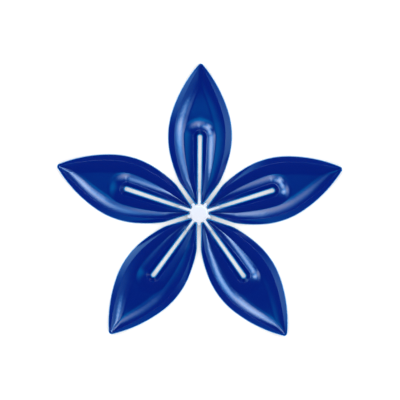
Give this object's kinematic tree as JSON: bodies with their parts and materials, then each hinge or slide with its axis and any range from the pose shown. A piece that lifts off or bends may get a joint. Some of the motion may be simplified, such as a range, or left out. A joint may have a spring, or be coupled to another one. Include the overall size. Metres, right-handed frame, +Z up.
{
  "type": "coffee flower ornament",
  "caption": "Thin glazed ornament shaped as a coffee flower: pointed blue petals with raised rims and open middle slots, spread round a small white star-shaped centre.",
  "frame": {"origin": "on the flat underside, below the middle of the white centre", "axes": "+Z up out of the glazed face, +Y along petal_1 from the centre to its tip, +X to the right when the face is seen from above with petal_1 pointing up"},
  "size_m": [0.1192, 0.1135, 0.0032],
  "materials": {
    "blue_glaze": "gloss cobalt glaze, brighter blue where it runs thin on the edges",
    "white_glaze": "gloss cool white glaze"
  },
  "bodies": {
    "root": {"petal_1": "blue_glaze", "petal_2": "blue_glaze", "petal_3": "blue_glaze", "petal_4": "blue_glaze", "petal_5": "blue_glaze", "white_centre": "white_glaze"}
  },
  "joints": []
}
